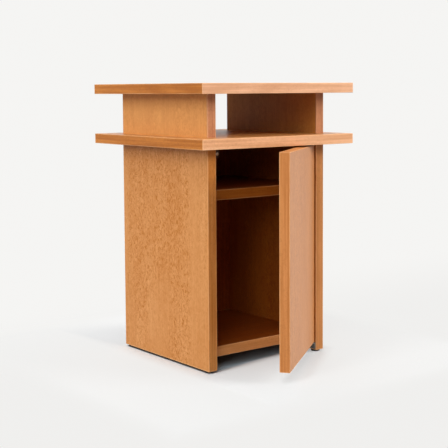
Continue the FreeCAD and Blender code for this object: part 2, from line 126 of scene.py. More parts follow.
# Glow by which the floor runs into the backdrop: its tint, its share beside the object, along the edge of its
# shade and in front of it, and the distances over which it comes in
FLOOR_GLOW = (0.872, 0.866, 0.852, 1.0)
FLOOR_GLOW_SIDE = 0.82
FLOOR_GLOW_EDGE = 0.30
FLOOR_GLOW_FRONT = 0.30
FLOOR_EDGE_REACH = 0.02
FLOOR_SIDE_REACH = 0.05
FLOOR_FRONT_REACH = 0.18
FLOOR_FADE_REACH = 0.34
FLOOR_BEHIND = 0.7
FLOOR_FAR = 4.0


# What the frame says about the boards and the door, and which body holds each part

def box_round(points):
    """Lowest and highest corner of the box round some points."""
    low = Vector([min(point[axis] for point in points) for axis in range(3)])
    high = Vector([max(point[axis] for point in points) for axis in range(3)])
    return low, high


def door_shut_box():
    """Corners of the door, with its edging, turned back to where it stands shut."""
    from_pivot = Matrix.Translation(DOOR_PIVOT)
    turn = from_pivot @ Matrix.Rotation(-DOOR_TURN, 4, "Z") @ from_pivot.inverted()
    return box_round([turn @ corner.co for corner in nodes["door_edging"].data.vertices])


def edging_of(board):
    return board.replace("side_panel", "side") + "_edging"


def board_box(board):
    """Corners of a board with its edging, set out past the ends that butt against other boards."""
    low, high = box_round(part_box(board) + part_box(edging_of(board)))
    if "riser" in board or "side" in board:
        high.z += BUTTED
    if "riser" in board:
        low.z -= BUTTED
    if board == "bottom_panel":
        low.x -= BUTTED
        high.x += BUTTED
    return low, high


BUTTED = 0.1
DOOR_PIVOT = Vector(joints["door_swing"]["pos_m"])
DOOR_TURN = -math.radians(joints["door_swing"]["range_deg"][0])
DOOR_BOX = door_shut_box()
DOOR_MIDDLE = (DOOR_BOX[0].z + DOOR_BOX[1].z) / 2
DOOR_INWARD = Matrix.Rotation(DOOR_TURN, 3, "Z") @ INWARD
UPRIGHT_MIDDLE = sum(abs(corner.x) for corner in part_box("right_side_panel")) / 2
BODY_OF = {node: body for body, holder in frame["bodies"].items()
           for node in nodes if nodes[node].parent == holder}


# Materials

def linear(red, green, blue):
    """Display colour, 0 to 255, as the linear colour that shaders take."""
    parts = [part / 255 for part in (red, green, blue)]
    return tuple(p / 12.92 if p <= 0.04045 else ((p + 0.055) / 1.055) ** 2.4 for p in parts) + (1.0,)


class Surface:
    """A material in the making: its nodes are added and joined by name."""

    def __init__(self, name, **values):
        self.material = bpy.data.materials.new(name)
        self.material.use_nodes = True
        self.tree = self.material.node_tree
        self.shader = self.tree.nodes["Principled BSDF"]
        self.give(**values)

    def feed(self, socket, value):
        if isinstance(value, bpy.types.NodeSocket):
            self.tree.links.new(value, socket)
        else:
            socket.default_value = value

    def give(self, **values):
        for socket, value in values.items():
            self.feed(self.shader.inputs[socket.replace("_", " ")], value)

    def add(self, kind, inputs, **settings):
        node = self.tree.nodes.new(kind)
        for name, value in settings.items():
            setattr(node, name, value)
        for key, value in inputs.items():
            self.feed(node.inputs[key], value)
        return node

    def math(self, operation, first, second=0.0):
        return self.add("ShaderNodeMath", {0: first, 1: second}, operation=operation).outputs[0]

    def most(self, first, *others):
        for other in others:
            first = self.math("MAXIMUM", first, other)
        return first

    def weighted(self, *terms):
        """Sum of values, each times its weight."""
        total = 0.0
        for value, weight in terms:
            total = self.math("ADD", total, self.math("MULTIPLY", value, weight))
        return total

    def vector(self, operation, first, second):
        return self.add("ShaderNodeVectorMath", {0: first, 1: second}, operation=operation).outputs[0]

    def span(self, value, low, high, to_low=0.0, to_high=1.0):
        """Value from low to high, eased and mapped to another span."""
        inputs = {"Value": value, "From Min": low, "From Max": high, "To Min": to_low, "To Max": to_high}
        return self.add("ShaderNodeMapRange", inputs, interpolation_type="SMOOTHSTEP").outputs[0]

    def noise(self, place, layer):
        stretched = self.vector("MULTIPLY", place, (layer.across, layer.across, layer.along))
        inputs = {"Vector": stretched, "Scale": 1.0, "Detail": layer.detail, "Roughness": layer.roughness,
                  "Distortion": layer.distortion}
        return self.add("ShaderNodeTexNoise", inputs).outputs["Fac"]

    def mix(self, share, first, second):
        return self.add("ShaderNodeMix", {0: share, 6: first, 7: second}, data_type="RGBA").outputs[2]

    def bump(self, height, distance, strength):
        inputs = {"Height": height, "Distance": distance, "Strength": strength}
        self.give(Normal=self.add("ShaderNodeBump", inputs).outputs["Normal"])

    def place(self):
        return self.add("ShaderNodeTexCoord", {}).outputs["Object"]


# Layers of noise: marks per metre across and along the grain, then detail, roughness and distortion
Layer = namedtuple("Layer", "across along detail roughness distortion")
BANDS = Layer(17, 3.0, 3.0, 0.55, 0.8)
FIGURE = Layer(105, 78, 2.0, 0.55, 1.4)
FIBRES = Layer(800, 16, 3.0, 0.6, 0.0)
RAYS = Layer(210, 4, 2.0, 0.5, 0.2)
SPECKS = Layer(205, 135, 2.0, 0.6, 1.1)
ZONES = Layer(11, 1.3, 2.0, 0.5, 0.5)
PATCHES = Layer(60, 20, 2.0, 0.5, 0.0)
NOISE_MIDDLE = 0.5
NOISE_SPAN = (0.3, 0.7)

# Spans of noise that make tones, flecks and figured zones, and the shares they give where these aren't 0 to 1
TONE_SPAN = (0.32, 0.70)
SPECK_SPAN = (0.44, 0.72)
FIGURE_ZONE_SPAN = (0.42, 0.58, 0.5, 1.0)
FLECK_ZONE_SPAN = (0.40, 0.60, 0.3, 1.0)
PATCH_SPAN = (0.3, 0.6, 0.4, 1.0)
FIBRE_WEIGHT = 0.20
FLECK_PIT = -0.6
WOOD_SMOOTHER = 0.05
WOOD_ROUGHER = 0.06
PORE_DEPTH = 0.06 * MM
PORE_STRENGTH = 0.6
# Paler band along a board's edges, partly rubbed stain and partly a painted highlight along the arrises:
# where it is full, how far it reaches and its share
WORN_AND_HIGHLIT_WIDTH = 0.7 * MM
WORN_AND_HIGHLIT_REACH = 2.2 * MM
WORN_AND_HIGHLIT_SHARE = 0.42

# Axes of the place that run across, through and along the grain; edging that runs round a board has two sets
GRAINS = {
    "upright": ["YXZ"], "level": ["YZX"], "door": ["XYZ"], "back": ["XYZ"],
    "upright edge": ["XYZ"], "level edge": ["ZYX"], "slab edge": ["ZYX", "ZXY"], "door edge": ["YZX", "YXZ"],
}


def distance_to_ends(surface, parts, axis, box):
    low, high = box[0][axis], box[1][axis]
    from_middle = surface.math("ABSOLUTE", surface.math("SUBTRACT", parts[axis], (low + high) / 2))
    return surface.math("SUBTRACT", (high - low) / 2, from_middle)


def other_half(surface, grain, parts):
    """1 on a slab's side strips, a door's upright strips or an upright board's inner half, 0 on the rest."""
    if grain == "upright":
        return surface.math("LESS_THAN", surface.math("ABSOLUTE", parts[0]), UPRIGHT_MIDDLE)
    if grain == "slab edge":
        sideways, lengthways = (surface.math("ABSOLUTE", part) for part in parts[:2])
        return surface.math("GREATER_THAN", sideways, lengthways)
    if grain == "door edge":
        from_side, from_top = (distance_to_ends(surface, parts, axis, DOOR_BOX) for axis in (0, 2))
        return surface.math("LESS_THAN", from_side, from_top)
    return None


def wood_coordinates(surface, grain, seed):
    """Place in the wood as (across, through, along) the grain, moved by the seed so that boards differ.

    It also gives the half that a point is on, where a board has two, and the place as three parts.
    """
    place = surface.place()
    if grain.startswith("door"):
        turned_back = {"Vector": place, "Center": DOOR_PIVOT, "Axis": UP, "Angle": -DOOR_TURN}
        place = surface.add("ShaderNodeVectorRotate", turned_back, rotation_type="AXIS_ANGLE").outputs[0]
    parts = surface.add("ShaderNodeSeparateXYZ", {"Vector": place}).outputs[:3]
    half = other_half(surface, grain, parts)
    places = []
    for axes in GRAINS[grain]:
        ordered = {step: parts["XYZ".index(axis)] for step, axis in enumerate(axes)}
        places.append(surface.add("ShaderNodeCombineXYZ", ordered).outputs[0])
    if len(places) == 2:
        inputs = {0: half, 4: places[0], 5: places[1]}
        places = [surface.add("ShaderNodeMix", inputs, data_type="VECTOR").outputs[1]]
    return surface.vector("ADD", places[0], seed), half, parts


def worn_and_highlit_edges(surface, parts, box, patches):
    """Share of paler colour, partly rubbed stain and partly a painted highlight along the arrises: most at
    the edges of a board's box, uneven along them, none further in.
    """
    first, second, third = (distance_to_ends(surface, parts, axis, box) for axis in range(3))
    nearer = surface.math("MINIMUM", first, second)
    further = surface.math("MAXIMUM", first, second)
    from_edge = surface.math("MAXIMUM", nearer, surface.math("MINIMUM", further, third))
    worn_and_highlit = surface.span(from_edge, WORN_AND_HIGHLIT_WIDTH, WORN_AND_HIGHLIT_REACH, WORN_AND_HIGHLIT_SHARE, 0.0)
    return surface.math("MULTIPLY", worn_and_highlit, surface.span(patches, *PATCH_SPAN))


# How strong the wood's flecks, straight lines and rippled figure are, and the lacquer over it
Finish = namedtuple("Finish", "flecks lines ripple roughness sheen")
PLAIN_FINISH = Finish(flecks=0.5, lines=0.15, ripple=0.5, roughness=0.45, sheen=0.24)
SLAB_FINISH = PLAIN_FINISH._replace(flecks=0.6, roughness=0.34, sheen=0.4)
INNER_FINISH = PLAIN_FINISH._replace(flecks=0.6)
RISER_FINISH = PLAIN_FINISH._replace(flecks=0.1, sheen=0.15)
SIDE_FINISH = PLAIN_FINISH._replace(flecks=0.9)
DOOR_FINISH = PLAIN_FINISH._replace(flecks=0.4, roughness=0.42, sheen=0.68)
BACK_FINISH = PLAIN_FINISH._replace(lines=0.4, roughness=0.55)
STRIP_FINISH = PLAIN_FINISH._replace(flecks=0.3, lines=0.6, ripple=0.12, roughness=0.5)
DOOR_STRIP_FINISH = STRIP_FINISH._replace(roughness=0.45)
SLAB_STRIP_FINISH = DOOR_STRIP_FINISH._replace(lines=0.8)


# A board's or strip's grain, tones and finish; inside holds the tones of its other half, where it has one: on
# the upright boards, painted shade on their inner half
Look = namedtuple("Look", "grain tones finish inside", defaults=[None])


def wood(name, look, seed, box=None):
    """Stained and lacquered wood: broad bands, a rippled figure, fine fibres and short dark flecks.

    Figure and flecks gather in long zones, and the colour is paler along the edges of a box: rubbed stain and
    a painted highlight.
    """
    finish = look.finish
    surface = Surface(name, Specular_IOR_Level=finish.sheen)
    place, half, parts = wood_coordinates(surface, look.grain, seed)
    pale, deep, fleck = look.tones
    # On the upright boards the inner half takes painted shade
    if look.inside:
        pale, deep, fleck = (surface.mix(half, *pair) for pair in zip(look.tones, look.inside))
    bands, figure, fibres, rays = (surface.noise(place, layer) for layer in (BANDS, FIGURE, FIBRES, RAYS))
    specks, zones = (surface.noise(place, layer) for layer in (SPECKS, ZONES))

    lively = surface.math("SUBTRACT", figure, NOISE_MIDDLE)
    lively = surface.math("MULTIPLY", lively, surface.span(zones, *FIGURE_ZONE_SPAN))
    figure = surface.math("ADD", NOISE_MIDDLE, lively)
    rays = surface.math("SUBTRACT", rays, NOISE_MIDDLE)
    tone = surface.weighted((bands, 1 - FIBRE_WEIGHT - finish.ripple), (figure, finish.ripple),
                            (fibres, FIBRE_WEIGHT), (rays, finish.lines))
    colour = surface.mix(surface.span(tone, *TONE_SPAN), deep, pale)
    mask = surface.math("MULTIPLY", surface.span(specks, *SPECK_SPAN), surface.span(zones, *FLECK_ZONE_SPAN))
    colour = surface.mix(surface.math("MULTIPLY", mask, finish.flecks), colour, fleck)
    # Along the box's edges the colour is paler: rubbed stain and a painted highlight along the arrises
    if box:
        worn_and_highlit = worn_and_highlit_edges(surface, parts, box, surface.noise(place, PATCHES))
        colour = surface.mix(worn_and_highlit, colour, WORN_AND_HIGHLIT)

    smooth = finish.roughness - WOOD_SMOOTHER
    rough = finish.roughness + WOOD_ROUGHER
    gloss = surface.span(fibres, *NOISE_SPAN, smooth, rough)
    surface.give(Base_Color=colour, Roughness=gloss)
    surface.bump(surface.weighted((fibres, 1), (mask, FLECK_PIT)), PORE_DEPTH, PORE_STRENGTH)
    return surface.material


# Clouds that dull a colour, and fine marks that change its gloss and stand out by a depth
Marking = namedtuple("Marking", "clouds dull marks smoother rougher depth strength")
PLATING = Marking(Layer(90, 90, 3.0, 0.6, 0.0), 0.78, Layer(700, 700 / 12, 3.0, 0.6, 0.0), 0.07, 0.09,
                  0.02 * MM, 0.4)
MOULDING = Marking(Layer(120, 120, 2.0, 0.5, 0.0), 0.8, Layer(2200, 2200, 2.0, 0.6, 0.0), 0.05, 0.08,
                   0.03 * MM, 0.5)
PLASTIC_SHEEN = 0.45


def marked(name, colour, roughness, marking, **values):
    surface = Surface(name, **values)
    place = surface.place()
    clouds, marks = (surface.noise(place, layer) for layer in (marking.clouds, marking.marks))
    dull = tuple(part * marking.dull for part in colour[:3]) + (1.0,)
    gloss = surface.span(marks, *NOISE_SPAN, roughness - marking.smoother, roughness + marking.rougher)
    surface.give(Base_Color=surface.mix(surface.span(clouds, *NOISE_SPAN), dull, colour), Roughness=gloss)
    surface.bump(marks, marking.depth, marking.strength)
    return surface.material


def plated(name, colour, roughness):
    """Plated steel with faint rolling marks and a mottled sheen."""
    return marked(name, colour, roughness, PLATING, Metallic=1.0)


def moulded(name, colour, roughness):
    """Moulded plastic with a fine spark-eroded grain and a slight cloud in its colour."""
    return marked(name, colour, roughness, MOULDING, Specular_IOR_Level=PLASTIC_SHEEN)


def paint(node, material):
    slots = nodes[node].data.materials
    slots.clear()
    slots.append(material)


# Tones of the wood: its pale and its deep tone, and its flecks; some are painted light or painted shade, as
# said at each

def wood_tones(pale, deep, fleck):
    return linear(*pale), linear(*deep), linear(*fleck)


HONEY = wood_tones((216, 154, 96), (192, 124, 62), (170, 97, 16))
RISER_FACE = wood_tones((223, 160, 94), (203, 138, 76), (170, 104, 46))
DOOR_FACE = wood_tones((198, 132, 74), (178, 112, 56), (142, 86, 40))
# Front strips of the slabs: paler and pinker than their side strips, a painted sheen of light glancing off
# the fronts
SHEEN_PAINTED_FRONT_STRIP = wood_tones((234, 180, 142), (210, 154, 116), (180, 120, 82))
SHEEN_PAINTED_MIDDLE_STRIP = wood_tones((232, 176, 134), (208, 149, 105), (178, 116, 74))
SIDE_STRIP = wood_tones((196, 122, 52), (166, 96, 34), (126, 68, 20))
# Front strips of the risers: darker and pinker than their faces, partly their own tone and partly painted
# shade under the slab above
SHADED_RISER_EDGE = wood_tones((200, 138, 98), (172, 112, 78), (132, 82, 52))
UPRIGHT_EDGE = wood_tones((197, 131, 77), (171, 109, 58), (130, 80, 40))
DOOR_EDGE = wood_tones((203, 134, 78), (178, 110, 56), (138, 82, 40))
BASE_EDGE = wood_tones((228, 160, 96), (206, 134, 72), (160, 100, 52))
# Left side's front strip: paler than the right side's, painted light in place of light from the front
LEFT_EDGE_PAINTED_LIGHT = wood_tones((219, 147, 78), (193, 119, 54), (150, 88, 38))
SHADED_EDGE = wood_tones((176, 106, 36), (150, 84, 24), (114, 62, 18))
SHADED_BOARD = wood_tones((184, 104, 36), (158, 80, 23), (142, 71, 20))
# Inner half of the risers, in the cubby: darker than their outer faces, painted shade
SHADED_RISER_INSIDE = wood_tones((198, 136, 66), (170, 108, 46), (134, 80, 32))
SHADED_FLOOR = wood_tones((154, 80, 26), (130, 58, 15), (98, 44, 11))
BACK = wood_tones((168, 86, 28), (132, 60, 16), (98, 44, 12))
BEECH = wood_tones((222, 190, 146), (196, 158, 112), (160, 118, 78))
# Paler colour at the edges: rubbed stain and a painted highlight along the arrises
WORN_AND_HIGHLIT = linear(244, 194, 142)

# Looks of the boards, and of the strips on their edges
BOARDS = {
    "top_panel": Look("level", HONEY, SLAB_FINISH),
    "middle_panel": Look("level", HONEY, SLAB_FINISH),
    "bottom_panel": Look("level", SHADED_FLOOR, INNER_FINISH),
    "inner_shelf": Look("level", SHADED_FLOOR, INNER_FINISH),
    "left_riser": Look("upright", RISER_FACE, RISER_FINISH, SHADED_RISER_INSIDE),
    "right_riser": Look("upright", RISER_FACE, RISER_FINISH, SHADED_RISER_INSIDE),
    "left_side_panel": Look("upright", HONEY, SIDE_FINISH, SHADED_BOARD),
    "right_side_panel": Look("upright", HONEY, SIDE_FINISH, SHADED_BOARD),
}
SLAB_EDGES = {
    "top_panel": Look("slab edge", SHEEN_PAINTED_FRONT_STRIP, SLAB_STRIP_FINISH, SIDE_STRIP),
    "middle_panel": Look("slab edge", SHEEN_PAINTED_MIDDLE_STRIP, SLAB_STRIP_FINISH, SIDE_STRIP),
}
EDGES = {
    "left_riser": Look("upright edge", SHADED_RISER_EDGE, STRIP_FINISH),
    "right_riser": Look("upright edge", SHADED_RISER_EDGE, STRIP_FINISH),
    "left_side_panel": Look("upright edge", LEFT_EDGE_PAINTED_LIGHT, STRIP_FINISH),
    "right_side_panel": Look("upright edge", UPRIGHT_EDGE, STRIP_FINISH),
    "bottom_panel": Look("level edge", BASE_EDGE, STRIP_FINISH),
    "inner_shelf": Look("level edge", SHADED_EDGE, STRIP_FINISH),
}
BOARD_SEED = Vector((0.328, 0.17, 0.53))
SLAB_EDGE_SEED = Vector((0.23, 0.41, 0.67))
EDGE_SEED = Vector((0.37, 0.29, 0.43))
DOOR_SEED = Vector((0.4, 0.6, 0.1))
DOOR_EDGE_SEED = Vector((0.7, 0.1, 0.2))
BACK_SEED = Vector((0.2, 0.9, 0.4))
DOWEL_SEED = Vector((0.5, 0.5, 0.5))


def dress(node, look, seed, box=None):
    paint(node, wood(node + "_wood", look, seed, box))


for number, (board, look) in enumerate(BOARDS.items()):
    dress(board, look, BOARD_SEED * number, board_box(board))
for looks, seed in ((SLAB_EDGES, SLAB_EDGE_SEED), (EDGES, EDGE_SEED)):
    for number, (board, look) in enumerate(looks.items()):
        dress(edging_of(board), look, seed * number, board_box(board))
dress("door_panel", Look("door", DOOR_FACE, DOOR_FINISH), DOOR_SEED, DOOR_BOX)
dress("door_edging", Look("door edge", DOOR_EDGE, DOOR_STRIP_FINISH), DOOR_EDGE_SEED, DOOR_BOX)
dress("back_panel", Look("back", BACK, BACK_FINISH), BACK_SEED)

beech = wood("dowel_wood", Look("back", BEECH, PLAIN_FINISH), DOWEL_SEED)
dull_zinc = plated("dull_zinc", linear(132, 128, 121), 0.42)
zinc = plated("bright_zinc", linear(196, 194, 186), 0.30)
nickel = plated("satin_nickel", linear(196, 190, 180), 0.30)
nylon = moulded("white_nylon", linear(226, 222, 210), 0.45)
brown_plastic = moulded("brown_plastic", linear(74, 48, 32), 0.4)
glide_plastic = moulded("dark_glide", linear(46, 38, 34), 0.5)
DOWELS = ("riser_top_dowels", "riser_foot_dowels", "side_top_dowels", "bottom_panel_dowels")
HINGE_PLATES = ("upper_frame_leaf", "lower_pivot_bracket", "upper_door_leaf", "lower_door_leaf")
HINGE_SCREWS = ("frame_leaf_screws", "bracket_screws", "door_leaf_screws")
PIVOT_PINS = ("upper_pivot_pin", "lower_pivot_pin")
PIVOT_WASHERS = ("upper_pivot_washer", "lower_pivot_washer")
BRIGHT_FASTENERS = ("glide_nails", "back_panel_nails", "latch_screws", "strike_screw", "latch_spring")
MATERIAL_OF = {
    **dict.fromkeys(DOWELS, beech),
    **dict.fromkeys(HINGE_PLATES + HINGE_SCREWS + PIVOT_PINS, dull_zinc),
    **dict.fromkeys(PIVOT_WASHERS, nylon),
    **dict.fromkeys(BRIGHT_FASTENERS, zinc),
    **dict.fromkeys(("shelf_pins", "latch_magnet", "latch_strike"), nickel),
    **dict.fromkeys(("latch_housing", "latch_plunger"), brown_plastic),
    "floor_glides": glide_plastic,
}
for node, material in MATERIAL_OF.items():
    paint(node, material)


# Turned fittings, in place of the faceted ones: each solid keeps its place, axis and reach

ROUND_STEPS = 48
SMALL_STEPS = 24
BROAD_EDGE_STEPS = 6
FINE_EDGE_STEPS = 3
PLAIN_EDGE_STEPS = 2
FLAT_SHARE = math.cos(math.pi / 8)  # eight-sided solid: width across its flats over that across its corners
SHARP_ANGLE = math.radians(38)
FIT = 0.05 * MM
EASE = 0.25 * MM
NAIL_HEAD = 0.8 * MM
NAIL_CROWN = ((0.45, 0.06), (0.8, 0.25), (1.0, 0.55), (1.0, 0.85))  # shares of the head's radius and height
NAIL_SHANK = 0.92 * MM
NAIL_POINT = 3.0 * MM
SCREW_HEAD = 1.6 * MM
SCREW_CORE = 1.0 * MM
SCREW_CREST = 1.38 * MM
SCREW_NECK = 0.8 * SCREW_CORE
SCREW_POINT = 3.0 * MM
THREAD_PITCH = 1.25 * MM
THREAD_SAMPLES = 6
THREAD_FLANK = 0.3
RECESS_DEPTH = 1.3 * MM
RECESS_MOUTH = (0.62, 0.17)  # reach and half width of its arms, as shares of the head's radius
RECESS_FOOT = (0.30, 0.10)
GLIDE_BEVEL = 1.5 * MM
MAGNET_DEPTH = 2.55 * MM
SPRING_WIRE = 0.8 * MM
SPRING_TURNS = 6
SPRING_STEPS = 24
SPRING_SIDES = 10
SPRING_POCKET = 12.0 * MM
FLUTES = 12
FLUTE_DEPTH = 0.3 * MM
DOWEL_EASE = 1.0 * MM

# Corners of an outline, by the quarter turn from outward at which their round starts
LOWER_OUTER = -1
UPPER_OUTER = 0
UPPER_INNER = 1
LOWER_INNER = 2


def solids_of(node):
    """Points of each separate solid of a CAD node, in the order of its mesh."""
    mesh = bmesh.new()
    mesh.from_mesh(nodes[node].data)
    bmesh.ops.remove_doubles(mesh, verts=mesh.verts, dist=WELD)
    solids = []
    seen = set()
    for first in mesh.verts:
        if first in seen:
            continue
        seen.add(first)
        waiting = [first]
        points = []
        while waiting:
            corner = waiting.pop()
            points.append(corner.co.copy())
            others = [edge.other_vert(corner) for edge in corner.link_edges]
            fresh = [other for other in others if other not in seen]
            seen.update(fresh)
            waiting.extend(fresh)
        solids.append(points)
    mesh.free()
    return solids


class Axis:
    """Line through a solid along a direction, with how far the solid reaches along it and out from it."""

    def __init__(self, points, direction):
        self.turn = Vector(direction).to_track_quat("Z", "Y").to_matrix()
        inward = self.turn.transposed()
        local = [inward @ point for point in points]
        low, high = box_round(local)
        self.centre = Vector(((low.x + high.x) / 2, (low.y + high.y) / 2, low.z))
        self.length = high.z - low.z
        self.radius = max((point - self.centre).to_2d().length for point in local)

    def at(self, x, y, height):
        return self.turn @ (self.centre + Vector((x, y, height)))

    def round(self, radius, turn, height):
        return self.at(radius * math.cos(turn), radius * math.sin(turn), height)


def turned(mesh, axis, outline, steps=SMALL_STEPS, closed=False):
    """Adds a turned shape through (radius, height) points; a radius may also be a rule of the turn.

    A closed outline makes a ring. An open one has a face at each end, or runs to a point on the axis.
    """
    turns = [2 * math.pi * step / steps for step in range(steps)]
    rings = []
    for radius, height in outline:
        if radius == 0:
            rings.append([mesh.verts.new(axis.at(0, 0, height))])
        elif callable(radius):
            rings.append([mesh.verts.new(axis.round(radius(turn, height), turn, height)) for turn in turns])
        else:
            rings.append([mesh.verts.new(axis.round(radius, turn, height)) for turn in turns])
    pairs = list(zip(rings, rings[1:]))
    if closed:
        pairs.append((rings[-1], rings[0]))
    for lower, upper in pairs:
        for step in range(steps):
            below = lower if len(lower) == 1 else [lower[step - 1], lower[step]]
            above = upper if len(upper) == 1 else [upper[step], upper[step - 1]]
            mesh.faces.new(below + above)
    return rings


def bend(radius, height, size, corner, steps):
    """Quarter round of an outline: its centre, its size and the corner that it rounds."""
    angles = [(corner + step / steps) * math.pi / 2 for step in range(steps + 1)]
    return [(radius + size * math.cos(angle), height + size * math.sin(angle)) for angle in angles]


def nail(mesh, axis):
    """Round nail with a low crown on its head and a point."""
    head = axis.radius * FLAT_SHARE
    outline = [(0, 0)] + [(head * out, NAIL_HEAD * along) for out, along in NAIL_CROWN]
    outline += [(head - EASE / 2, NAIL_HEAD), (NAIL_SHANK, NAIL_HEAD)]
    turned(mesh, axis, outline + [(NAIL_SHANK, axis.length - NAIL_POINT), (0, axis.length)])


def thread(turn, height):
    """Radius of a screw's thread: a ridge that climbs one pitch in each turn."""
    phase = (height / THREAD_PITCH - turn / (2 * math.pi)) % 1
    ridge = max(0.0, 1 - abs(phase - 0.5) / THREAD_FLANK)
    return SCREW_CORE + (SCREW_CREST - SCREW_CORE) * ridge


def screw(mesh, axis):
    """Countersunk wood screw with a cross recess and a thread down to its point."""
    head = axis.radius * FLAT_SHARE
    start = SCREW_HEAD + EASE
    stop = axis.length - SCREW_POINT
    count = round((stop - start) / THREAD_PITCH * THREAD_SAMPLES)
    outline = [(head - EASE / 3, 0), (head, EASE / 3), (SCREW_CORE, SCREW_HEAD)]
    outline += [(thread, start + (stop - start) * step / count) for step in range(count + 1)]
    outline += [(SCREW_NECK, stop + EASE * 2), (0, axis.length)]
    rim = turned(mesh, axis, outline)[0]
    cross_recess(mesh, axis, rim, head)


def cross_recess(mesh, axis, rim, head):
    """Closes a screw's head inside its rim, with a cross recess that narrows on its way down."""
    def cross(shares, height):
        arm, half = (head * share for share in shares)
        points = []
        for quarter in range(4):
            side = Matrix.Rotation(quarter * math.pi / 2, 2)
            for corner in ((arm, -half), (arm, half), (half, half)):
                place = side @ Vector(corner)
                points.append(mesh.verts.new(axis.at(place.x, place.y, height)))
        return points

    mouth = cross(RECESS_MOUTH, 0)
    foot = cross(RECESS_FOOT, RECESS_DEPTH)
    for step in range(len(mouth)):
        mesh.faces.new([mouth[step - 1], mouth[step], foot[step], foot[step - 1]])
    bmesh.ops.triangulate(mesh, faces=[mesh.faces.new(foot)])
    loops = [(loop[step - 1], loop[step]) for loop in (rim, mouth) for step in range(len(loop))]
    bmesh.ops.triangle_fill(mesh, use_beauty=True, edges=[mesh.edges.get(pair) for pair in loops])


def glide(mesh, axis):
    """Moulded glide: round lower edge, a well for the nail's head and a hole for its shank."""
    well = GLIDE_NAIL_RADIUS + FIT
    depth = GLIDE_NAIL_SEAT + NAIL_HEAD
    shank = NAIL_SHANK + FIT
    outline = [(well + EASE, 0)]
    outline += bend(axis.radius - GLIDE_BEVEL, GLIDE_BEVEL, GLIDE_BEVEL, LOWER_OUTER, BROAD_EDGE_STEPS)
    outline += bend(axis.radius - EASE, axis.length - EASE, EASE, UPPER_OUTER, PLAIN_EDGE_STEPS)
    outline += [(shank, axis.length), (shank, depth), (well, depth), (well, EASE)]
    turned(mesh, axis, outline, ROUND_STEPS, closed=True)


def washer(mesh, axis):
    """Washer with round edges that runs on a pivot pin."""
    inner = PIN_RADIUS + FIT + EASE
    outer = axis.radius - EASE
    top = axis.length - EASE
    outline = []
    for radius, height, corner in ((outer, EASE, LOWER_OUTER), (outer, top, UPPER_OUTER),
                                   (inner, top, UPPER_INNER), (inner, EASE, LOWER_INNER)):
        outline += bend(radius, height, EASE, corner, FINE_EDGE_STEPS)
    turned(mesh, axis, outline, ROUND_STEPS, closed=True)


def pin(mesh, axis):
    """Plain round pin with eased ends."""
    outer = axis.radius - EASE
    outline = [(0, 0)] + bend(outer, EASE, EASE, LOWER_OUTER, FINE_EDGE_STEPS)
    outline += bend(outer, axis.length - EASE, EASE, UPPER_OUTER, FINE_EDGE_STEPS) + [(0, axis.length)]
    turned(mesh, axis, outline, ROUND_STEPS)


def plunger(mesh, axis):
    """Plunger with a round-edged tip, a pocket for the magnet in front and one for the spring behind."""
    magnet = MAGNET_RADIUS + FIT
    pocket = SPRING_RADIUS + 3 * FIT
    pocket_floor = axis.length - SPRING_POCKET
    tip = (axis.radius - magnet) / 2
    outline = [(0, MAGNET_DEPTH), (magnet, MAGNET_DEPTH), (magnet, EASE / 2), (magnet + EASE / 2, 0)]
    outline += bend(axis.radius - tip, tip, tip, LOWER_OUTER, BROAD_EDGE_STEPS)
    outline += bend(axis.radius - EASE, axis.length - EASE, EASE, UPPER_OUTER, PLAIN_EDGE_STEPS)
    outline += [(pocket, axis.length), (pocket, pocket_floor), (0, pocket_floor)]
    turned(mesh, axis, outline, ROUND_STEPS)


def strike(mesh, axis):
    """Steel disc with a round rim and a countersunk hole; its screw's cone goes through it."""
    outer = axis.radius - EASE
    slope = (STRIKE_SCREW_RADIUS - SCREW_CORE) / SCREW_HEAD
    mouth = STRIKE_SCREW_RADIUS + FIT
    outline = [(mouth - slope * axis.length, 0), (axis.radius, 0)]
    outline += bend(outer, axis.length - EASE, EASE, UPPER_OUTER, FINE_EDGE_STEPS) + [(mouth, axis.length)]
    turned(mesh, axis, outline, ROUND_STEPS, closed=True)


def dowel(mesh, axis):
    """Fluted dowel with chamfered ends."""
    radius = axis.radius * FLAT_SHARE

    def fluted(turn, height):
        return radius - FLUTE_DEPTH * max(0.0, math.cos(FLUTES * turn)) ** 2

    outline = [(0, 0), (radius - DOWEL_EASE, 0), (fluted, DOWEL_EASE), (fluted, axis.length - DOWEL_EASE)]
    turned(mesh, axis, outline + [(radius - DOWEL_EASE, axis.length), (0, axis.length)], ROUND_STEPS)


def spring(mesh, axis):
    """Round wire coiled about the axis from one end of the solid to the other."""
    wire = SPRING_WIRE / 2
    middle = axis.radius - wire
    count = SPRING_TURNS * SPRING_STEPS
    sides = [2 * math.pi * side / SPRING_SIDES for side in range(SPRING_SIDES)]
    rings = []
    for step in range(count + 1):
        turn = 2 * math.pi * step / SPRING_STEPS
        height = wire + (axis.length - SPRING_WIRE) * step / count
        section = [(middle + wire * math.cos(side), height + wire * math.sin(side)) for side in sides]
        rings.append([mesh.verts.new(axis.round(out, turn, along)) for out, along in section])
    for lower, upper in zip(rings, rings[1:]):
        for side in range(SPRING_SIDES):
            mesh.faces.new([lower[side - 1], lower[side], upper[side], upper[side - 1]])
    for end in (rings[0], rings[-1]):
        bmesh.ops.triangulate(mesh, faces=[mesh.faces.new(end)])


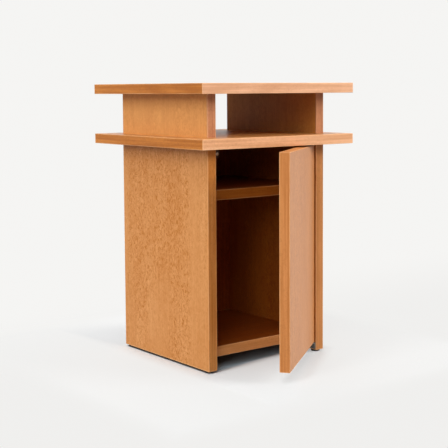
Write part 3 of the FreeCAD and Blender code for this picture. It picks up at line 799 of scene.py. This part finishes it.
def fitting(node, maker, direction):
    """Piece with every solid of a node made again by the maker, which takes the node's place."""
    mesh = bmesh.new()
    for points in solids_of(node):
        maker(mesh, Axis(points, direction(points) if callable(direction) else direction))
    bmesh.ops.recalc_face_normals(mesh, faces=mesh.faces)
    data = bpy.data.meshes.new(node + "_turned")
    mesh.to_mesh(data)
    mesh.free()
    data.shade_smooth()
    data.set_sharp_from_angle(angle=SHARP_ANGLE)
    data.materials.append(MATERIAL_OF[node])
    piece = bpy.data.objects.new(node + "_turned", data)
    bpy.context.scene.collection.objects.link(piece)
    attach(piece, BODY_OF[node])
    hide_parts(node)
    return piece


def reach(node, direction):
    """Axis of a node's first solid."""
    return Axis(solids_of(node)[0], direction)


def into_door(points):
    """Direction of a door leaf's screw: down at the door's top, up at its foot."""
    return -UP if points[0].z > DOOR_MIDDLE else UP


def ease_edges(node):
    """Breaks the sharp edges of a steel or moulded piece with a narrow round."""
    joined = nodes[node].modifiers.new("joined", "WELD")
    joined.merge_threshold = WELD
    eased = nodes[node].modifiers.new("eased", "BEVEL")
    eased.width = EASE
    eased.segments = PLAIN_EDGE_STEPS
    eased.limit_method = "ANGLE"
    eased.angle_limit = SHARP_ANGLE
    eased.harden_normals = True


GLIDE_NAIL_RADIUS = reach("glide_nails", UP).radius
GLIDE_NAIL_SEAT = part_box("glide_nails")[0].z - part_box("floor_glides")[0].z
PIN_RADIUS = reach("upper_pivot_pin", UP).radius
MAGNET_RADIUS = reach("latch_magnet", INWARD).radius
SPRING_RADIUS = reach("latch_spring", INWARD).radius
STRIKE_SCREW_RADIUS = reach("strike_screw", DOOR_INWARD).radius * FLAT_SHARE

fitting("floor_glides", glide, UP)
fitting("glide_nails", nail, UP)
fitting("back_panel_nails", nail, -INWARD)
fitting("frame_leaf_screws", screw, UP)
fitting("bracket_screws", screw, RIGHT)
fitting("door_leaf_screws", screw, into_door)
fitting("latch_screws", screw, UP)
fitting("strike_screw", screw, -DOOR_INWARD)
for node in PIVOT_WASHERS:
    fitting(node, washer, UP)
for node in PIVOT_PINS:
    fitting(node, pin, UP)
fitting("latch_plunger", plunger, INWARD)
fitting("latch_magnet", pin, INWARD)
fitting("latch_strike", strike, DOOR_INWARD)
for node in DOWELS:
    fitting(node, dowel, RIGHT if node == "bottom_panel_dowels" else UP)
coil = fitting("latch_spring", spring, INWARD)
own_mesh(coil)
for node in HINGE_PLATES + ("shelf_pins", "latch_housing"):
    ease_edges(node)


# Floor, light and camera

def seen_directly(tree):
    """1 for rays from the camera and for mirrored or transmitted ones, 0 for light that falls on surfaces."""
    path = tree.nodes.new("ShaderNodeLightPath")
    share = path.outputs["Is Camera Ray"]
    for name in ("Is Glossy Ray", "Is Transmission Ray"):
        joined = tree.nodes.new("ShaderNodeMath")
        joined.operation = "MAXIMUM"
        tree.links.new(share, joined.inputs[0])
        tree.links.new(path.outputs[name], joined.inputs[1])
        share = joined.outputs[0]
    return share


def make_world():
    """Even, weak surround that gives light, and the pale backdrop where it is seen directly."""
    world = bpy.data.worlds.new("studio")
    bpy.context.scene.world = world
    world.use_nodes = True
    tree = world.node_tree
    surround = tree.nodes["Background"]
    surround.inputs["Color"].default_value = SURROUND_COLOUR
    surround.inputs["Strength"].default_value = SURROUND_STRENGTH
    backdrop = tree.nodes.new("ShaderNodeBackground")
    backdrop.inputs["Color"].default_value = BACKDROP
    choice = tree.nodes.new("ShaderNodeMixShader")
    tree.links.new(seen_directly(tree), choice.inputs[0])
    tree.links.new(surround.outputs[0], choice.inputs[1])
    tree.links.new(backdrop.outputs[0], choice.inputs[2])
    tree.links.new(choice.outputs[0], tree.nodes["World Output"].inputs["Surface"])


def floor_paint():
    """Pale paint that takes the shadow near the object and runs into the backdrop further out."""
    foot_low, foot_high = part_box("left_side_edging")
    side = -foot_low.x
    side_inner = -foot_high.x
    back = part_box("left_side_panel")[1].y
    surface = Surface("floor_paint", Roughness=FLOOR_ROUGHNESS, Specular_IOR_Level=FLOOR_SHEEN)
    place = surface.place()
    x, y = surface.add("ShaderNodeSeparateXYZ", {"Vector": place}).outputs[:2]
    sideways, lengthways = (surface.math("ABSOLUTE", part) for part in (x, y))
    seen = seen_directly(surface.tree)

    # In front, the shade ends where the key's shadow of the left side's front foot runs
    slope = math.tan(math.radians(90 + KEY_TURN))
    slant = surface.math("SUBTRACT", surface.math("MULTIPLY", x, slope), y)
    front = foot_high.x * slope - foot_low.y
    beside = surface.span(sideways, side - FLOOR_SHADE_EDGE, side)
    behind = surface.span(y, back - FLOOR_SHADE_EDGE, back)
    before = surface.span(slant, front - 2 * FLOOR_SHADE_FADE, front)
    under_side = surface.span(sideways, side_inner - FLOOR_SHADE_FADE, side_inner)
    covered_floor = surface.mix(under_side, FLOOR_SHADE, FLOOR_FOOT_SHADE)
    open_floor = surface.mix(seen, FLOOR_BOUNCE, FLOOR_COLOUR)
    surface.give(Base_Color=surface.mix(surface.most(beside, behind, before), covered_floor, open_floor))

    # The glow comes in beside the object, in front of its shade, past the open door and further out
    near_side = surface.span(sideways, side, side + FLOOR_SIDE_REACH, 0.0, FLOOR_GLOW_SIDE)
    at_edge = surface.span(slant, front - FLOOR_SHADE_FADE, front + FLOOR_EDGE_REACH, 0.0, FLOOR_GLOW_EDGE)
    in_front = surface.span(lengthways, side, side + FLOOR_FRONT_REACH, 0.0, FLOOR_GLOW_FRONT)
    from_door = {0: surface.vector("SUBTRACT", place, DOOR_PIVOT), 1: -DOOR_INWARD}
    past_door = surface.add("ShaderNodeVectorMath", from_door, operation="DOT_PRODUCT").outputs["Value"]
    beyond = surface.span(past_door, 0.0, FLOOR_SIDE_REACH, 0.0, FLOOR_GLOW_SIDE)
    outward = surface.most(sideways, lengthways)
    far_out = surface.span(outward, side + FLOOR_SIDE_REACH, side + FLOOR_FADE_REACH)
    share = surface.most(far_out, near_side, surface.math("ADD", at_edge, in_front), beyond)
    far = surface.span(outward, side + FLOOR_FADE_REACH, FLOOR_FAR)
    far = surface.most(far, surface.span(y, 0.0, FLOOR_BEHIND))
    tint = surface.mix(far, FLOOR_GLOW, BACKDROP)
    glow = surface.add("ShaderNodeEmission", {"Color": tint, "Strength": 1.0})
    shaders = {0: surface.math("MULTIPLY", share, seen), 1: surface.shader.outputs[0], 2: glow.outputs[0]}
    choice = surface.add("ShaderNodeMixShader", shaders)
    surface.feed(surface.tree.nodes["Material Output"].inputs["Surface"], choice.outputs[0])
    return surface.material


def make_floor():
    mesh = bpy.data.meshes.new("floor")
    corners = [(-FLOOR_REACH, -FLOOR_REACH, 0), (FLOOR_REACH, -FLOOR_REACH, 0),
               (FLOOR_REACH, FLOOR_REACH, 0), (-FLOOR_REACH, FLOOR_REACH, 0)]
    mesh.from_pydata(corners, [], [(0, 1, 2, 3)])
    mesh.materials.append(floor_paint())
    floor = bpy.data.objects.new("floor", mesh)
    bpy.context.scene.collection.objects.link(floor)


def make_sun(name, sun):
    lamp = bpy.data.lights.new(name, "SUN")
    lamp.energy = sun.strength
    lamp.angle = math.radians(sun.spread)
    holder = bpy.data.objects.new(name, lamp)
    holder.rotation_euler = (math.radians(90 - sun.height), 0, math.radians(sun.turn))
    holder.visible_glossy = False
    bpy.context.scene.collection.objects.link(holder)


def make_camera():
    """Camera at the photograph's place: turned, raised and rolled about a point half way up the object."""
    data = bpy.data.cameras.new("camera")
    data.sensor_width = SENSOR_WIDTH
    data.lens = FOCAL_PIXELS / IMAGE_SIZE * SENSOR_WIDTH
    data.shift_y = (PRINCIPAL_Y - IMAGE_SIZE / 2) / IMAGE_SIZE
    back = Vector((math.sin(CAMERA_TURN) * math.cos(CAMERA_RISE),
                   -math.cos(CAMERA_TURN) * math.cos(CAMERA_RISE), math.sin(CAMERA_RISE)))
    right = Vector((math.cos(CAMERA_TURN), math.sin(CAMERA_TURN), 0))
    up = back.cross(right)
    place = Vector((0, 0, AIM_HEIGHT)) + back * CAMERA_DISTANCE + right * CAMERA_RIGHT + up * CAMERA_UP
    rolled_right = math.cos(CAMERA_ROLL) * right + math.sin(CAMERA_ROLL) * up
    rolled_up = math.cos(CAMERA_ROLL) * up - math.sin(CAMERA_ROLL) * right
    camera = bpy.data.objects.new("camera", data)
    turn = Matrix((rolled_right, rolled_up, back)).transposed().to_4x4()
    camera.matrix_world = Matrix.Translation(place) @ turn
    bpy.context.scene.collection.objects.link(camera)
    bpy.context.scene.camera = camera


bpy.context.scene.view_settings.view_transform = "Standard"
make_world()
make_floor()
for name, sun in SUNS.items():
    make_sun(name, sun)
make_camera()
